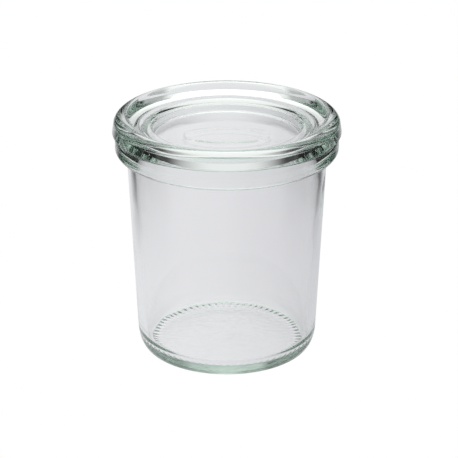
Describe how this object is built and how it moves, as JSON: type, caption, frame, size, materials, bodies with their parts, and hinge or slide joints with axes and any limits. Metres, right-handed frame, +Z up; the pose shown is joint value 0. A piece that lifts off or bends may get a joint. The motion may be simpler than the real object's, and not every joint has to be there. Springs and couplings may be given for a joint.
{
  "type": "glass canning jar with glass lid",
  "caption": "Straight-sided clear glass canning jar with a rounded heel and flanged mouth, closed by a loose domed-ring glass lid with a sunk middle and a locating plug.",
  "frame": {"origin": "on the jar's axis, in the plane of the foot ring that it stands on", "axes": "+Z up along the jar's axis; +X and +Y level, with -Y towards the side that the picture shows"},
  "size_m": [0.071, 0.071, 0.0768],
  "materials": {
    "jar_glass": "polished clear pressed glass with a faint green cast",
    "lid_glass": "polished clear pressed glass with a faint green cast"
  },
  "bodies": {
    "root": {"jar": "jar_glass", "lid": "lid_glass"}
  },
  "joints": []
}
